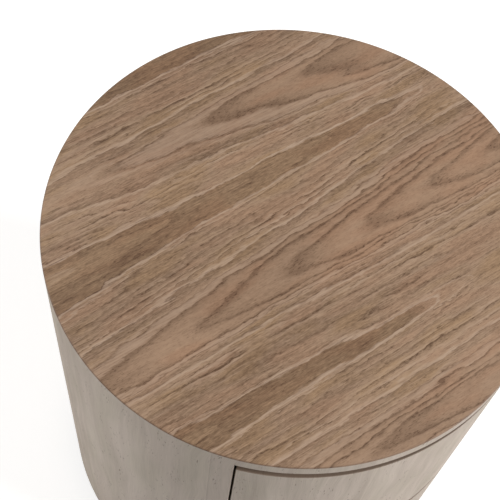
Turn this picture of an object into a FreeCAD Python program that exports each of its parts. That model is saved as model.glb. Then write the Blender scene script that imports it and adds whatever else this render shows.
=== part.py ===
import FreeCAD, Part
import math
import os
import Sketcher

# Round drum nightstand: a bent shell flush with a veneered round top, and two handle-less
# drawers with bowed fronts on telescopic slides. Millimetres, +Z up, front towards -Y,
# origin on the floor under the drum's axis.

os.makedirs("parts", exist_ok=True)
doc = FreeCAD.newDocument("DrumNightstand")

SIZES = [
    # drum
    ("outer_diameter", 550, "outside of the shell and of the top"),
    ("total_height", 600, "floor to top surface"),
    ("shell_wall", 18, "wall of the bent shell"),
    ("shell_arris", 0.7, "chamfer on the shell's upper outer edge, under the top"),
    ("skin_thickness", 2, "veneered board that covers the whole top"),
    ("skin_ease", 1.5, "eased outer edge of the top"),
    ("panel_thickness", 16, "round panels that close the shell above and below"),
    ("opening_half_angle", 47, "half of the angle that the drawer opening takes, in degrees"),
    ("front_ease", 1, "eased outer edges of the drawer fronts"),
    ("opening_arris", 1, "chamfer round the drawer opening"),
    # carcass inside the shell
    ("side_thickness", 15, "flat boards that carry the slides"),
    ("divider_thickness", 15, "shelf between the drawers and the ribs beside it"),
    ("divider_reach", 150, "drum axis to the shelf's front edge"),
    ("board_inset", 3, "end of a flat board to the shell"),
    ("housing_depth", 5, "housings that take the ends of boards, shelf and drawer sides"),
    ("joint_play", 0.1, "room for glue around a seated board"),
    # base
    ("plinth_height", 36, "recessed ring under the drum"),
    ("plinth_recess", 30, "shell's outside to plinth's outside"),
    ("plinth_wall", 15, "wall of the plinth ring"),
    ("block_size", 40, "square glue blocks inside the plinth"),
    ("glide_height", 4, "floor glides, plinth to floor"),
    ("glide_diameter", 25, "floor glides"),
    # drawers
    ("finger_gap", 12, "open gap above each drawer front, for the fingers"),
    ("side_gap", 2.5, "gap at each end of a drawer front, along the arc"),
    ("foot_gap", 2.5, "gap under the lower drawer front"),
    ("grip_depth", 8, "what the grip bevel takes off a front's rear upper edge"),
    ("grip_height", 26, "height of the grip bevel"),
    ("box_lift", 14, "front's lower edge to the drawer box's lower edge"),
    ("box_height", 180, "height of the drawer sides"),
    ("box_wall", 12, "drawer sides and back"),
    ("bottom_thickness", 6, "drawer bottom"),
    ("bottom_rise", 10, "box's lower edge to the bottom's underside"),
    ("groove_depth", 6, "grooves for the drawer bottom"),
    ("groove_play", 0.2, "room around the bottom in its grooves"),
    # telescopic slides
    ("slide_length", 300, "every member of a slide"),
    ("slide_travel", 290, "how far a drawer pulls out"),
    ("slide_height", 45, "cabinet member"),
    ("slide_thickness", 12.7, "room that a slide takes beside the drawer"),
    ("slide_steel", 1.2, "rolled steel of the members"),
    ("slide_rise", 60, "box's lower edge to the slide's centre line"),
    ("cabinet_lip", 10, "depth of the cabinet member's channel"),
    ("middle_offset", 3.6, "flat board to the middle member's web"),
    ("middle_lip", 7, "depth of the middle member's channel"),
    ("drawer_lip", 7.1, "depth of the drawer member's channel"),
    ("ball_diameter", 3.2, "rows of balls between the members"),
    ("ball_play", 0.15, "running play beside a row of balls"),
    ("cage_play", 5, "room for a row of balls between two members pulled right out"),
    # slide screws
    ("screw_diameter", 3.5, "shank of a slide screw"),
    ("screw_length", 12, "slide screw under its head"),
    ("screw_head", 7, "diameter of a slide screw's head"),
    ("screw_head_height", 2, "slide screw's head"),
    ("screw_inset", 37, "end of a slide to its nearest screw"),
    ("screw_play", 0.05, "room around a screw's shank"),
    # one overrun for every cut that leaves the solid
    ("overrun", 5, "how far a cut runs past the face that it leaves through"),
]

# sides of the bars that stand for round shanks, rows of balls and screw heads
BAR_SIDES = 8
HEAD_SIDES = 12

DERIVED = [
    ("outer_radius", "Sizes.outer_diameter / 2"),
    ("inner_radius", "outer_radius - Sizes.shell_wall"),
    ("drum_floor", "Sizes.glide_height + Sizes.plinth_height"),
    ("skin_floor", "Sizes.total_height - Sizes.skin_thickness"),
    ("opening_top", "skin_floor - Sizes.panel_thickness"),
    ("opening_floor", "drum_floor + Sizes.panel_thickness"),
    ("opening_height", "opening_top - opening_floor"),
    ("front_height", "(opening_height - 2 * Sizes.finger_gap - Sizes.foot_gap) / 2"),
    ("lower_floor", "opening_floor + Sizes.foot_gap"),
    ("upper_floor", "lower_floor + front_height + Sizes.finger_gap"),
    ("gap_angle", "Sizes.side_gap / outer_radius * 180 / pi"),
    ("front_half_angle", "Sizes.opening_half_angle - gap_angle"),
    ("board_face", "inner_radius * sin(Sizes.opening_half_angle)"),
    ("board_back", "board_face + Sizes.side_thickness"),
    ("board_half_length", "sqrt(inner_radius ^ 2 - board_back ^ 2) - Sizes.board_inset"),
    ("board_floor", "opening_floor - Sizes.housing_depth"),
    ("divider_floor", "upper_floor - Sizes.divider_thickness"),
    ("divider_half_width", "board_face + Sizes.housing_depth - Sizes.joint_play"),
    ("box_face", "board_face - Sizes.slide_thickness"),
    ("box_inside", "box_face - Sizes.box_wall"),
    ("box_rear", "Sizes.slide_length / 2"),
    ("side_radius", "inner_radius + Sizes.housing_depth - Sizes.joint_play"),
    ("bottom_radius", "inner_radius + Sizes.groove_depth - Sizes.groove_play"),
    ("bottom_half_width", "box_inside + Sizes.groove_depth - Sizes.groove_play"),
    ("groove_half_angle", "asin((box_inside + Sizes.groove_depth) / inner_radius)"),
    ("groove_height", "Sizes.bottom_thickness + 2 * Sizes.groove_play"),
    ("groove_floor", "Sizes.bottom_rise - Sizes.groove_play"),
    ("cabinet_half", "Sizes.slide_height / 2"),
    ("track", "Sizes.slide_steel + Sizes.ball_diameter + 2 * Sizes.ball_play"),
    ("middle_half", "cabinet_half - track"),
    ("drawer_half", "middle_half - track"),
    ("ball_drop", "Sizes.slide_steel + Sizes.ball_play + Sizes.ball_diameter / 2"),
    ("cage_length", "Sizes.slide_length - Sizes.slide_travel / 2 - Sizes.cage_play"),
    ("screw_reach", "Sizes.slide_length / 2 - Sizes.screw_inset"),
    ("plinth_radius", "outer_radius - Sizes.plinth_recess"),
    ("plinth_inside", "plinth_radius - Sizes.plinth_wall"),
    ("block_reach", "sqrt(plinth_inside ^ 2 - (Sizes.block_size / 2) ^ 2) - Sizes.joint_play"),
]


def fill_sheet(name, rows):
    sheet = doc.addObject("Spreadsheet::Sheet", name)
    for number, row in enumerate(rows, start=1):
        content = str(row[1]) if name == "Sizes" else "=" + row[1]
        sheet.set(f"A{number}", row[2] if len(row) > 2 else row[0])
        sheet.set(f"B{number}", content)
        sheet.setAlias(f"B{number}", row[0])
    doc.recompute()
    return sheet


sizes = fill_sheet("Sizes", SIZES)
fill_sheet("Derived", DERIVED)
parts = []


def value(expression):
    """The number that an expression of the sheets gives now, to seed a sketch."""
    found = sizes.evalExpression(expression)
    return float(getattr(found, "Value", found))


def body(name):
    item = doc.addObject("PartDesign::Body", name)
    item.AllowCompound = True
    parts.append(item)
    return item


def lift(item, expression):
    item.setExpression("Placement.Base.z", expression)


def sketch(owner, role, offset=None):
    """An empty sketch on one of the body's own origin planes, or that far along its normal."""
    plane = [each for each in owner.Origin.OriginFeatures if each.Role == role][0]
    drawing = owner.newObject("Sketcher::SketchObject", owner.Name + "_sketch")
    drawing.AttachmentSupport = [(plane, "")]
    drawing.MapMode = "FlatFace"
    if offset:
        drawing.setExpression("AttachmentOffset.Base.z", offset)
    return drawing


def tie(drawing, kind, geometry, point, expression):
    """A distance from the sketch's origin to a point, bound to the sheets."""
    rule = Sketcher.Constraint(kind, -1, 1, geometry, point, value(expression))
    number = drawing.addConstraint(rule)
    drawing.setExpression(f"Constraints[{number}]", expression)


def polygon(drawing, corners):
    """A closed outline with every corner tied to the sheets."""
    spots = [FreeCAD.Vector(value(x), value(y), 0) for x, y in corners]
    first = drawing.GeometryCount
    for number, start in enumerate(spots):
        end = spots[(number + 1) % len(spots)]
        drawing.addGeometry(Part.LineSegment(start, end), False)
    for number, (x, y) in enumerate(corners):
        following = first + (number + 1) % len(spots)
        drawing.addConstraint(Sketcher.Constraint("Coincident", first + number, 2, following, 1))
        tie(drawing, "DistanceX", first + number, 1, x)
        tie(drawing, "DistanceY", first + number, 1, y)
    return drawing


def rectangle(drawing, left, right, low, high):
    return polygon(drawing, [(left, low), (right, low), (right, high), (left, high)])


def screw_hole(drawing, x, y):
    """The outline of a screw's shank, many-sided as the shank is, with a little room."""
    radius = "(Sizes.screw_diameter / 2 + Sizes.screw_play)"
    turns = [f"{number} * 360 / {BAR_SIDES}" for number in range(BAR_SIDES)]
    corners = [(f"{x} + {radius} * cos({turn})", f"{y} + {radius} * sin({turn})") for turn in turns]
    return polygon(drawing, corners)


def circle(drawing, x, y, radius):
    centre = FreeCAD.Vector(value(x), value(y), 0)
    ring = Part.Circle(centre, FreeCAD.Vector(0, 0, 1), value(radius))
    number = drawing.addGeometry(ring, False)
    tie(drawing, "DistanceX", number, 3, x)
    tie(drawing, "DistanceY", number, 3, y)
    rule = drawing.addConstraint(Sketcher.Constraint("Radius", number, value(radius)))
    drawing.setExpression(f"Constraints[{rule}]", radius)
    return drawing


def arc(radius, start, end):
    """An arc about the drum's axis, anticlockwise from start to end."""
    ring = Part.Circle(FreeCAD.Vector(0, 0, 0), FreeCAD.Vector(0, 0, 1), radius)
    return Part.ArcOfCircle(ring, math.atan2(start.y, start.x), math.atan2(end.y, end.x))


def bow(drawing, left, right, end, radius, front):
    """Straight edges at left, right and end, closed by an arc about the drum's axis."""
    x0, x1, y0, r = value(left), value(right), value(end), value(radius)
    side = -1 if front else 1
    y_left = side * (r * r - x0 * x0) ** 0.5
    y_right = side * (r * r - x1 * x1) ** 0.5
    corner = [FreeCAD.Vector(x, y, 0) for x, y in ((x0, y_left), (x0, y0), (x1, y0), (x1, y_right))]
    for number in range(3):
        drawing.addGeometry(Part.LineSegment(corner[number], corner[number + 1]), False)
    at_left, at_right = (1, 2) if front else (2, 1)
    ends = (corner[0], corner[3]) if front else (corner[3], corner[0])
    drawing.addGeometry(arc(r, *ends), False)
    drawing.addConstraint(
        [
            Sketcher.Constraint("Coincident", 0, 2, 1, 1),
            Sketcher.Constraint("Coincident", 1, 2, 2, 1),
            Sketcher.Constraint("Coincident", 2, 2, 3, at_right),
            Sketcher.Constraint("Coincident", 3, at_left, 0, 1),
            Sketcher.Constraint("Coincident", 3, 3, -1, 1),
            Sketcher.Constraint("Vertical", 0),
            Sketcher.Constraint("Horizontal", 1),
            Sketcher.Constraint("Vertical", 2),
        ]
    )
    tie(drawing, "DistanceX", 1, 1, left)
    tie(drawing, "DistanceX", 1, 2, right)
    tie(drawing, "DistanceY", 1, 1, end)
    rule = drawing.addConstraint(Sketcher.Constraint("Radius", 3, r))
    drawing.setExpression(f"Constraints[{rule}]", radius)
    return drawing


def pad(owner, drawing, length, midplane=False):
    feature = owner.newObject("PartDesign::Pad", owner.Name + "_pad")
    feature.Profile = drawing
    feature.Midplane = midplane
    feature.setExpression("Length", length)
    return feature


def pocket(owner, drawing, depth, upward=False, midplane=False):
    """A cut from the sketch against its normal, or along it."""
    doc.recompute()
    before = owner.Shape.Volume
    feature = owner.newObject("PartDesign::Pocket", owner.Name + "_pocket")
    feature.Profile = drawing
    feature.Reversed = upward
    feature.Midplane = midplane
    feature.setExpression("Length", depth)
    doc.recompute()
    if owner.Shape.Volume >= before:
        raise RuntimeError(f"{feature.Name} cuts nothing")
    return feature


def turn(owner, drawing, angle=None, axis="V_Axis", cut=False):
    """A revolved solid or groove: a whole turn, or an angle shared by both sides of the sketch."""
    doc.recompute()
    before = owner.Shape.Volume if cut else 0
    kind = "Groove" if cut else "Revolution"
    feature = owner.newObject(f"PartDesign::{kind}", f"{owner.Name}_{kind.lower()}")
    feature.Profile = drawing
    feature.ReferenceAxis = (drawing, [axis])
    if angle:
        feature.Midplane = True
        feature.setExpression("Angle", angle)
    doc.recompute()
    if cut and owner.Shape.Volume >= before:
        raise RuntimeError(f"{feature.Name} cuts nothing")
    return feature


def ease(owner, size, chosen):
    """Chamfers the edges that the test picks."""
    doc.recompute()
    base = owner.Tip
    names = [f"Edge{n}" for n, edge in enumerate(base.Shape.Edges, start=1) if chosen(edge)]
    if not names:
        raise RuntimeError(f"{owner.Name} has no edge to ease")
    feature = owner.newObject("PartDesign::Chamfer", f"{owner.Name}_chamfer")
    feature.Base = (base, names)
    feature.setExpression("Size", size)


def repeat_round(owner, feature, count):
    ring = owner.newObject("PartDesign::PolarPattern", owner.Name + "_ring")
    axis = [each for each in owner.Origin.OriginFeatures if each.Role == "Z_Axis"][0]
    ring.Originals = [feature]
    ring.Axis = (axis, [""])
    ring.Occurrences = count
    owner.Tip = ring


def mirror(name, source, normal=FreeCAD.Vector(1, 0, 0)):
    """The same piece on the other side of a plane through the drum's axis."""
    twin = doc.addObject("Part::Mirroring", name)
    twin.Source = source
    twin.Normal = normal
    return twin


def both_sides(sources):
    return sources + [mirror(f"{source.Name}_twin", source) for source in sources]


def left_of(name, source):
    parts.append(mirror(name, source))


def group(name, members):
    cluster = doc.addObject("Part::Compound", name)
    cluster.Links = members
    parts.append(cluster)


def on_radius(edge, radius):
    """True for an edge whose every point lies on the cylinder of that radius about the axis."""
    reach = value(radius)
    return all((p.x**2 + p.y**2) ** 0.5 > reach * 0.9999 for p in edge.discretize(5))


def between(edge, low, high):
    box = edge.BoundBox
    return box.ZMin > value(low) and box.ZMax < value(high)


# Shell: one bent wall right round, with the drawer opening cut out radially


def make_shell():
    shell = body("side_shell")
    top = "Derived.skin_floor"
    drawing = sketch(shell, "YZ_Plane")
    polygon(
        drawing,
        [
            ("-Derived.outer_radius", "Derived.drum_floor"),
            ("-Derived.inner_radius", "Derived.drum_floor"),
            ("-Derived.inner_radius", top),
            ("-Derived.outer_radius + Sizes.shell_arris", top),
            ("-Derived.outer_radius", f"{top} - Sizes.shell_arris"),
        ],
    )
    turn(shell, drawing)
    window = sketch(shell, "YZ_Plane")
    rectangle(
        window,
        "-Derived.outer_radius - Sizes.overrun",
        "-Derived.inner_radius + Sizes.overrun",
        "Derived.opening_floor",
        "Derived.opening_top",
    )
    turn(shell, window, "2 * Sizes.opening_half_angle", cut=True)
    ease(
        shell,
        "Sizes.opening_arris",
        lambda edge: on_radius(edge, "Derived.outer_radius")
        and between(edge, "Derived.drum_floor", f"{top} - 2 * Sizes.shell_arris"),
    )


# Top: a veneered board over everything, and the round panel under it inside the shell


def make_top_skin():
    skin = body("top_veneer_board")
    pad(skin, circle(sketch(skin, "XY_Plane"), "0", "0", "Derived.outer_radius"), "Sizes.skin_thickness")
    ease(skin, "Sizes.skin_ease", lambda edge: edge.BoundBox.ZMin > value("Sizes.skin_thickness / 2"))
    lift(skin, "Derived.skin_floor")


def make_round_panel(name, floor, housed_above):
    """A round panel with a housing for each flat board, in its upper or its lower face."""
    panel = body(name)
    radius = "Derived.inner_radius - Sizes.joint_play"
    pad(panel, circle(sketch(panel, "XY_Plane"), "0", "0", radius), "Sizes.panel_thickness")
    drawing = sketch(panel, "XY_Plane", "Sizes.panel_thickness" if housed_above else None)
    near, far = "Derived.board_face - Sizes.joint_play", "Derived.board_back + Sizes.joint_play"
    reach = "(Derived.board_half_length + Sizes.joint_play)"
    rectangle(drawing, near, far, f"-{reach}", reach)
    rectangle(drawing, f"-({far})", f"-({near})", f"-{reach}", reach)
    pocket(panel, drawing, "Sizes.housing_depth + Sizes.joint_play", upward=not housed_above)
    lift(panel, floor)


# Flat boards that carry the slides, the shelf between the drawers and the ribs beside it


def make_boards():
    board = body("inner_side_right")
    drawing = sketch(board, "XY_Plane")
    rectangle(
        drawing,
        "Derived.board_face",
        "Derived.board_back",
        "-Derived.board_half_length",
        "Derived.board_half_length",
    )
    pad(board, drawing, "Derived.opening_height + 2 * Sizes.housing_depth")
    housing = sketch(board, "XZ_Plane")
    rectangle(
        housing,
        "Derived.board_face - Sizes.overrun",
        "Derived.board_face + Sizes.housing_depth",
        "Derived.divider_floor - Derived.board_floor - Sizes.joint_play",
        "Derived.upper_floor - Derived.board_floor + Sizes.joint_play",
    )
    pocket(board, housing, "2 * Derived.outer_radius", midplane=True)
    screws = sketch(board, "YZ_Plane", "Derived.board_face")
    for floor in ("Derived.lower_floor", "Derived.upper_floor"):
        height = f"{floor} + Sizes.box_lift + Sizes.slide_rise - Derived.board_floor"
        for reach in ("-Derived.screw_reach", "Derived.screw_reach"):
            screw_hole(screws, reach, height)
    pocket(board, screws, "Sizes.screw_length", upward=True)
    lift(board, "Derived.board_floor")
    left_of("inner_side_left", board)


def make_divider():
    shelf = body("divider_shelf")
    wide = "Derived.divider_half_width"
    radius = "Derived.inner_radius - Sizes.joint_play"
    drawing = bow(sketch(shelf, "XY_Plane"), f"-{wide}", wide, "-Sizes.divider_reach", radius, front=False)
    pad(shelf, drawing, "Sizes.divider_thickness")
    lift(shelf, "Derived.divider_floor")


def make_ribs():
    """A rib shaped as a segment of the circle, between a flat board and the shell."""
    rib = body("side_rib_right")
    chord, radius = "Derived.board_back + Sizes.joint_play", "Derived.inner_radius - Sizes.joint_play"
    x, r = value(chord), value(radius)
    reach = (r * r - x * x) ** 0.5
    ends = [FreeCAD.Vector(x, -reach, 0), FreeCAD.Vector(x, reach, 0)]
    drawing = sketch(rib, "XY_Plane")
    drawing.addGeometry(Part.LineSegment(ends[1], ends[0]), False)
    drawing.addGeometry(arc(r, *ends), False)
    drawing.addConstraint(
        [
            Sketcher.Constraint("Coincident", 0, 2, 1, 1),
            Sketcher.Constraint("Coincident", 1, 2, 0, 1),
            Sketcher.Constraint("Coincident", 1, 3, -1, 1),
            Sketcher.Constraint("Vertical", 0),
        ]
    )
    tie(drawing, "DistanceX", 0, 1, chord)
    rule = drawing.addConstraint(Sketcher.Constraint("Radius", 1, r))
    drawing.setExpression(f"Constraints[{rule}]", radius)
    pad(rib, drawing, "Sizes.divider_thickness")
    lift(rib, "Derived.divider_floor")
    left_of("side_rib_left", rib)


# Base: a recessed ring with four glue blocks, each on a floor glide


def make_base():
    ring = body("plinth_ring")
    drawing = sketch(ring, "YZ_Plane")
    rectangle(drawing, "-Derived.plinth_radius", "-Derived.plinth_inside", "0", "Sizes.plinth_height")
    turn(ring, drawing)
    lift(ring, "Sizes.glide_height")

    blocks = body("plinth_blocks")
    drawing = sketch(blocks, "XY_Plane")
    half = "Sizes.block_size / 2"
    rectangle(drawing, "Derived.block_reach - Sizes.block_size", "Derived.block_reach", f"-{half}", half)
    block = pad(blocks, drawing, "Sizes.plinth_height")
    repeat_round(blocks, block, 4)
    blocks.Placement.Rotation = FreeCAD.Rotation(FreeCAD.Vector(0, 0, 1), 45)
    lift(blocks, "Sizes.glide_height")

    glides = body("floor_glides")
    centre = "(Derived.block_reach - Sizes.block_size / 2)"
    drawing = sketch(glides, "XY_Plane")
    circle(drawing, centre, "0", "Sizes.glide_diameter / 2")
    pad(glides, drawing, "Sizes.glide_height")
    repeat_round(glides, glides.Tip, 4)
    glides.Placement.Rotation = FreeCAD.Rotation(FreeCAD.Vector(0, 0, 1), 45)


# Telescopic slides: rolled channels that nest in each other, with rows of balls between them


def channel(name, web_near, web_far, tip, half, centre, holes=None):
    """A C section along the slide: its web between two planes, its lips out to tip."""
    member = body(name)
    steel = "Sizes.slide_steel"
    outer, inner = f"Derived.board_face - ({web_near})", f"Derived.board_face - ({web_far})"
    lip = f"Derived.board_face - ({tip})"
    drawing = sketch(member, "XZ_Plane")
    polygon(
        drawing,
        [
            (outer, f"-{half}"),
            (outer, half),
            (lip, half),
            (lip, f"{half} - {steel}"),
            (inner, f"{half} - {steel}"),
            (inner, f"-{half} + {steel}"),
            (lip, f"-{half} + {steel}"),
            (lip, f"-{half}"),
        ],
    )
    pad(member, drawing, "Sizes.slide_length", midplane=True)
    if holes:
        drilled = sketch(member, "YZ_Plane", outer)
        for reach in ("-Derived.screw_reach", "Derived.screw_reach"):
            screw_hole(drilled, reach, "0")
        pocket(member, drilled, f"4 * {steel}", midplane=True)
    lift(member, centre)
    return member


def prism(name, sides, radius, height, about, x, y, z):
    """A many-sided bar that stands for a round one, laid down by a quarter turn about an axis."""
    bar = doc.addObject("Part::Prism", name)
    bar.Polygon = sides
    bar.setExpression("Circumradius", radius)
    bar.setExpression("Height", height)
    bar.Placement.Rotation = FreeCAD.Rotation(about, 90)
    bar.setExpression("Placement.Base.x", x)
    bar.setExpression("Placement.Base.y", y)
    lift(bar, z)
    return bar


def screw_pair(name, seat, inward, centre):
    """Two screws along a slide, heads against its web; the shanks look outward or inward."""
    about, y = FreeCAD.Vector(0, 1, 0), "-Derived.screw_reach"
    head_x, shank_x = seat, f"{seat} - Sizes.screw_length"
    if not inward:
        head_x, shank_x = f"{seat} - Sizes.screw_head_height", seat
    head_size = ("Sizes.screw_head / 2", "Sizes.screw_head_height")
    shank_size = ("Sizes.screw_diameter / 2", "Sizes.screw_length")
    head = prism(f"{name}_head", HEAD_SIDES, *head_size, about, head_x, y, centre)
    shank = prism(f"{name}_shank", BAR_SIDES, *shank_size, about, shank_x, y, centre)
    screw = doc.addObject("Part::MultiFuse", f"{name}_front")
    screw.Shapes = [head, shank]
    return [screw, mirror(f"{name}_rear", screw, FreeCAD.Vector(0, 1, 0))]


def ball_rows(name, depth, half, centre):
    """Rows of balls above and below, on both slides of a drawer, each drawn as one bar."""
    rows = []
    for side in ("", "-"):
        for edge in ("", "-"):
            row = prism(
                f"{name}_row",
                BAR_SIDES,
                "Sizes.ball_diameter / 2",
                "Derived.cage_length",
                FreeCAD.Vector(1, 0, 0),
                f"{side}(Derived.board_face - ({depth}))",
                "Derived.cage_length / 2",
                f"{centre} + {edge}({half} - Derived.ball_drop)",
            )
            rows.append(row)
    group(name, rows)


def make_slides(level, centre):
    steel, offset = "Sizes.slide_steel", "Sizes.middle_offset"
    thick = "Sizes.slide_thickness"
    cabinet = channel(
        f"{level}_slide_cabinet_right", "0", steel, "Sizes.cabinet_lip", "Derived.cabinet_half", centre, True
    )
    left_of(f"{level}_slide_cabinet_left", cabinet)
    middle = channel(
        f"{level}_slide_middle_right",
        offset,
        f"{offset} + {steel}",
        f"{offset} + Sizes.middle_lip",
        "Derived.middle_half",
        centre,
    )
    left_of(f"{level}_slide_middle_left", middle)
    moving = channel(
        f"{level}_slide_drawer_right",
        thick,
        f"{thick} - {steel}",
        f"{thick} - Sizes.drawer_lip",
        "Derived.drawer_half",
        centre,
        True,
    )
    left_of(f"{level}_slide_drawer_left", moving)
    ball_rows(
        f"{level}_outer_ball_rows", f"(Sizes.cabinet_lip + {offset}) / 2", "Derived.cabinet_half", centre
    )
    inner_depth = f"({offset} + Sizes.middle_lip + {thick} - Sizes.drawer_lip) / 2"
    ball_rows(f"{level}_inner_ball_rows", inner_depth, "Derived.middle_half", centre)
    screws = screw_pair(f"{level}_drawer_screw", f"Derived.box_face + {steel}", True, centre)
    group(f"{level}_drawer_slide_screws", both_sides(screws))
    return both_sides(screw_pair(f"{level}_cabinet_screw", f"Derived.board_face - {steel}", False, centre))


# Drawers: a bowed front that closes the shell's opening, and a box whose sides are scribed to it


def make_front(level, floor):
    front = body(f"{level}_drawer_front")
    outer, inner, tall = "-Derived.outer_radius", "-Derived.inner_radius", "Derived.front_height"
    drawing = sketch(front, "YZ_Plane")
    polygon(
        drawing,
        [
            (outer, "0"),
            (inner, "0"),
            (inner, f"{tall} - Sizes.grip_height"),
            (f"{inner} - Sizes.grip_depth", tall),
            (outer, tall),
        ],
    )
    turn(front, drawing, "2 * Derived.front_half_angle")
    slot = sketch(front, "YZ_Plane")
    rectangle(
        slot,
        f"{inner} - Sizes.groove_depth",
        f"{inner} + Sizes.overrun",
        "Sizes.box_lift + Derived.groove_floor",
        "Sizes.box_lift + Derived.groove_floor + Derived.groove_height",
    )
    turn(front, slot, "2 * Derived.groove_half_angle", cut=True)
    for side in ("right", "left"):
        housing = sketch(front, "XY_Plane", "Sizes.box_lift - Sizes.joint_play")
        side_outline(housing, side, "Derived.inner_radius + Sizes.housing_depth", "0", "Sizes.joint_play")
        pocket(front, housing, "Sizes.box_height + 2 * Sizes.joint_play", upward=True)
    ease(front, "Sizes.front_ease", lambda edge: on_radius(edge, "Derived.outer_radius"))
    lift(front, floor)


def side_outline(drawing, side, radius, end, play):
    """The plan of a drawer side, bowed at its front end, with some play across its thickness."""
    near, far = f"(Derived.box_inside - {play})", f"(Derived.box_face + {play})"
    if side == "left":
        near, far = f"-{far}", f"-{near}"
    bow(drawing, near, far, end, radius, front=True)
    return drawing


def make_box(level, floor):
    base = f"{floor} + Sizes.box_lift"
    side = body(f"{level}_drawer_side_right")
    drawing = side_outline(sketch(side, "XY_Plane"), "right", "Derived.side_radius", "Derived.box_rear", "0")
    pad(side, drawing, "Sizes.box_height")
    groove = sketch(side, "XZ_Plane")
    rectangle(
        groove,
        "Derived.box_inside - Sizes.overrun",
        "Derived.box_inside + Sizes.groove_depth",
        "Derived.groove_floor",
        "Derived.groove_floor + Derived.groove_height",
    )
    pocket(side, groove, "2 * Derived.outer_radius", midplane=True)
    screws = sketch(side, "YZ_Plane", "Derived.box_face")
    for reach in ("-Derived.screw_reach", "Derived.screw_reach"):
        screw_hole(screws, reach, "Sizes.slide_rise")
    pocket(side, screws, "Sizes.screw_length - Sizes.slide_steel + Sizes.joint_play")
    lift(side, base)
    left_of(f"{level}_drawer_side_left", side)

    rear = body(f"{level}_drawer_back")
    drawing = sketch(rear, "XY_Plane")
    wide = "(Derived.box_inside - Sizes.joint_play)"
    rectangle(drawing, f"-{wide}", wide, "Derived.box_rear - Sizes.box_wall", "Derived.box_rear")
    pad(rear, drawing, "Sizes.box_height - Derived.groove_floor - Derived.groove_height")
    lift(rear, f"{base} + Derived.groove_floor + Derived.groove_height")

    bottom = body(f"{level}_drawer_bottom")
    wide = "Derived.bottom_half_width"
    drawing = bow(
        sketch(bottom, "XY_Plane"), f"-{wide}", wide, "Derived.box_rear", "Derived.bottom_radius", front=True
    )
    pad(bottom, drawing, "Sizes.bottom_thickness")
    lift(bottom, f"{base} + Sizes.bottom_rise")


make_shell()
make_top_skin()
make_round_panel("top_panel", "Derived.opening_top", housed_above=False)
make_round_panel("bottom_panel", "Derived.drum_floor", housed_above=True)
make_boards()
make_divider()
make_ribs()
make_base()
cabinet_screws = []
for drawer in ("upper", "lower"):
    drawer_floor = f"Derived.{drawer}_floor"
    make_front(drawer, drawer_floor)
    make_box(drawer, drawer_floor)
    slide_centre = f"{drawer_floor} + Sizes.box_lift + Sizes.slide_rise"
    cabinet_screws += make_slides(drawer, slide_centre)
group("cabinet_slide_screws", cabinet_screws)

doc.recompute()
for item in doc.Objects:
    if "Invalid" in item.State or "Error" in item.State:
        raise RuntimeError(f"{item.Name} did not compute: {item.State}")
for part in parts:
    part.Label = part.Name
    if part.Shape.isNull() or not part.Shape.isValid() or part.Shape.Volume <= 0:
        raise RuntimeError(f"{part.Name} has no valid shape")
    part.Shape.exportStep(f"parts/{part.Label}.step")
print(f"{len(parts)} nodes, {sum(len(part.Shape.Solids) for part in parts)} solids")
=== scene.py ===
import math

import bmesh
import bpy
import numpy as np
from mathutils import Matrix, Vector


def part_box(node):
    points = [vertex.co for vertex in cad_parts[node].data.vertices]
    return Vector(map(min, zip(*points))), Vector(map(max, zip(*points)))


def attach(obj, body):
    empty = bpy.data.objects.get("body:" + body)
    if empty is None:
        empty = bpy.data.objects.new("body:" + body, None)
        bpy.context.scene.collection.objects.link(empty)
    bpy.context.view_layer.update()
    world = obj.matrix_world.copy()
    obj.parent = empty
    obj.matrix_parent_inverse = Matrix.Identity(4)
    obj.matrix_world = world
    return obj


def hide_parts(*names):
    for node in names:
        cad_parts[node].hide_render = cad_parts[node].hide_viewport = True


# Round drum nightstand: a bent shell of grey-beige veneer, a brown veneered top flush with it,
# and two bowed drawers on telescopic slides. Metres, +Z up, drawers towards -Y.

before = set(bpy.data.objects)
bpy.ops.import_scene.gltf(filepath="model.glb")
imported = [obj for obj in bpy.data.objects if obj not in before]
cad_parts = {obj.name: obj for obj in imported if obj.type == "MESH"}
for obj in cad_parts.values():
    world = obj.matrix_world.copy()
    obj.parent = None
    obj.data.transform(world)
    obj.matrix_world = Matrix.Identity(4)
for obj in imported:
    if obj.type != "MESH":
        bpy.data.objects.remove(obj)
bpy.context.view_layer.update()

# The camera of the photograph, above the drum's front left. Its picture was cropped, so the lens
# axis lies off the middle, and the rim's centre is placed by the pixel where the picture shows it.

picture_side = 500
focal_pixels = 1080.2
lens_axis_pixel = (220, 300)
rim_centre_pixel = (294.6, 225.4)
rim_centre_depth = 1.1746
camera_azimuth = math.radians(-38.15)
camera_pitch = math.radians(62.73)
camera_roll = math.radians(5.77)

rim_centre = Vector((0, 0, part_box("top_veneer_board")[1][2]))
camera_turn = (
    Matrix.Rotation(camera_azimuth, 4, "Z")
    @ Matrix.Rotation(math.pi / 2 - camera_pitch, 4, "X")
    @ Matrix.Rotation(camera_roll, 4, "Z")
)
rim_right = (rim_centre_pixel[0] - lens_axis_pixel[0]) / focal_pixels
rim_up = (lens_axis_pixel[1] - rim_centre_pixel[1]) / focal_pixels
rim_from_camera = Vector((rim_right, rim_up, -1)) * rim_centre_depth
lens = bpy.data.cameras.new("camera")
lens.lens = focal_pixels / picture_side * lens.sensor_width
lens.shift_x = 0.5 - lens_axis_pixel[0] / picture_side
lens.shift_y = lens_axis_pixel[1] / picture_side - 0.5
camera = bpy.data.objects.new("camera", lens)
camera.matrix_world = Matrix.Translation(rim_centre - camera_turn @ rim_from_camera) @ camera_turn
bpy.context.scene.collection.objects.link(camera)
bpy.context.scene.camera = camera

# Floor glides: four discs of moulded nylon under the glue blocks. Nylon from a mould is dull and
# faintly uneven.


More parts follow.
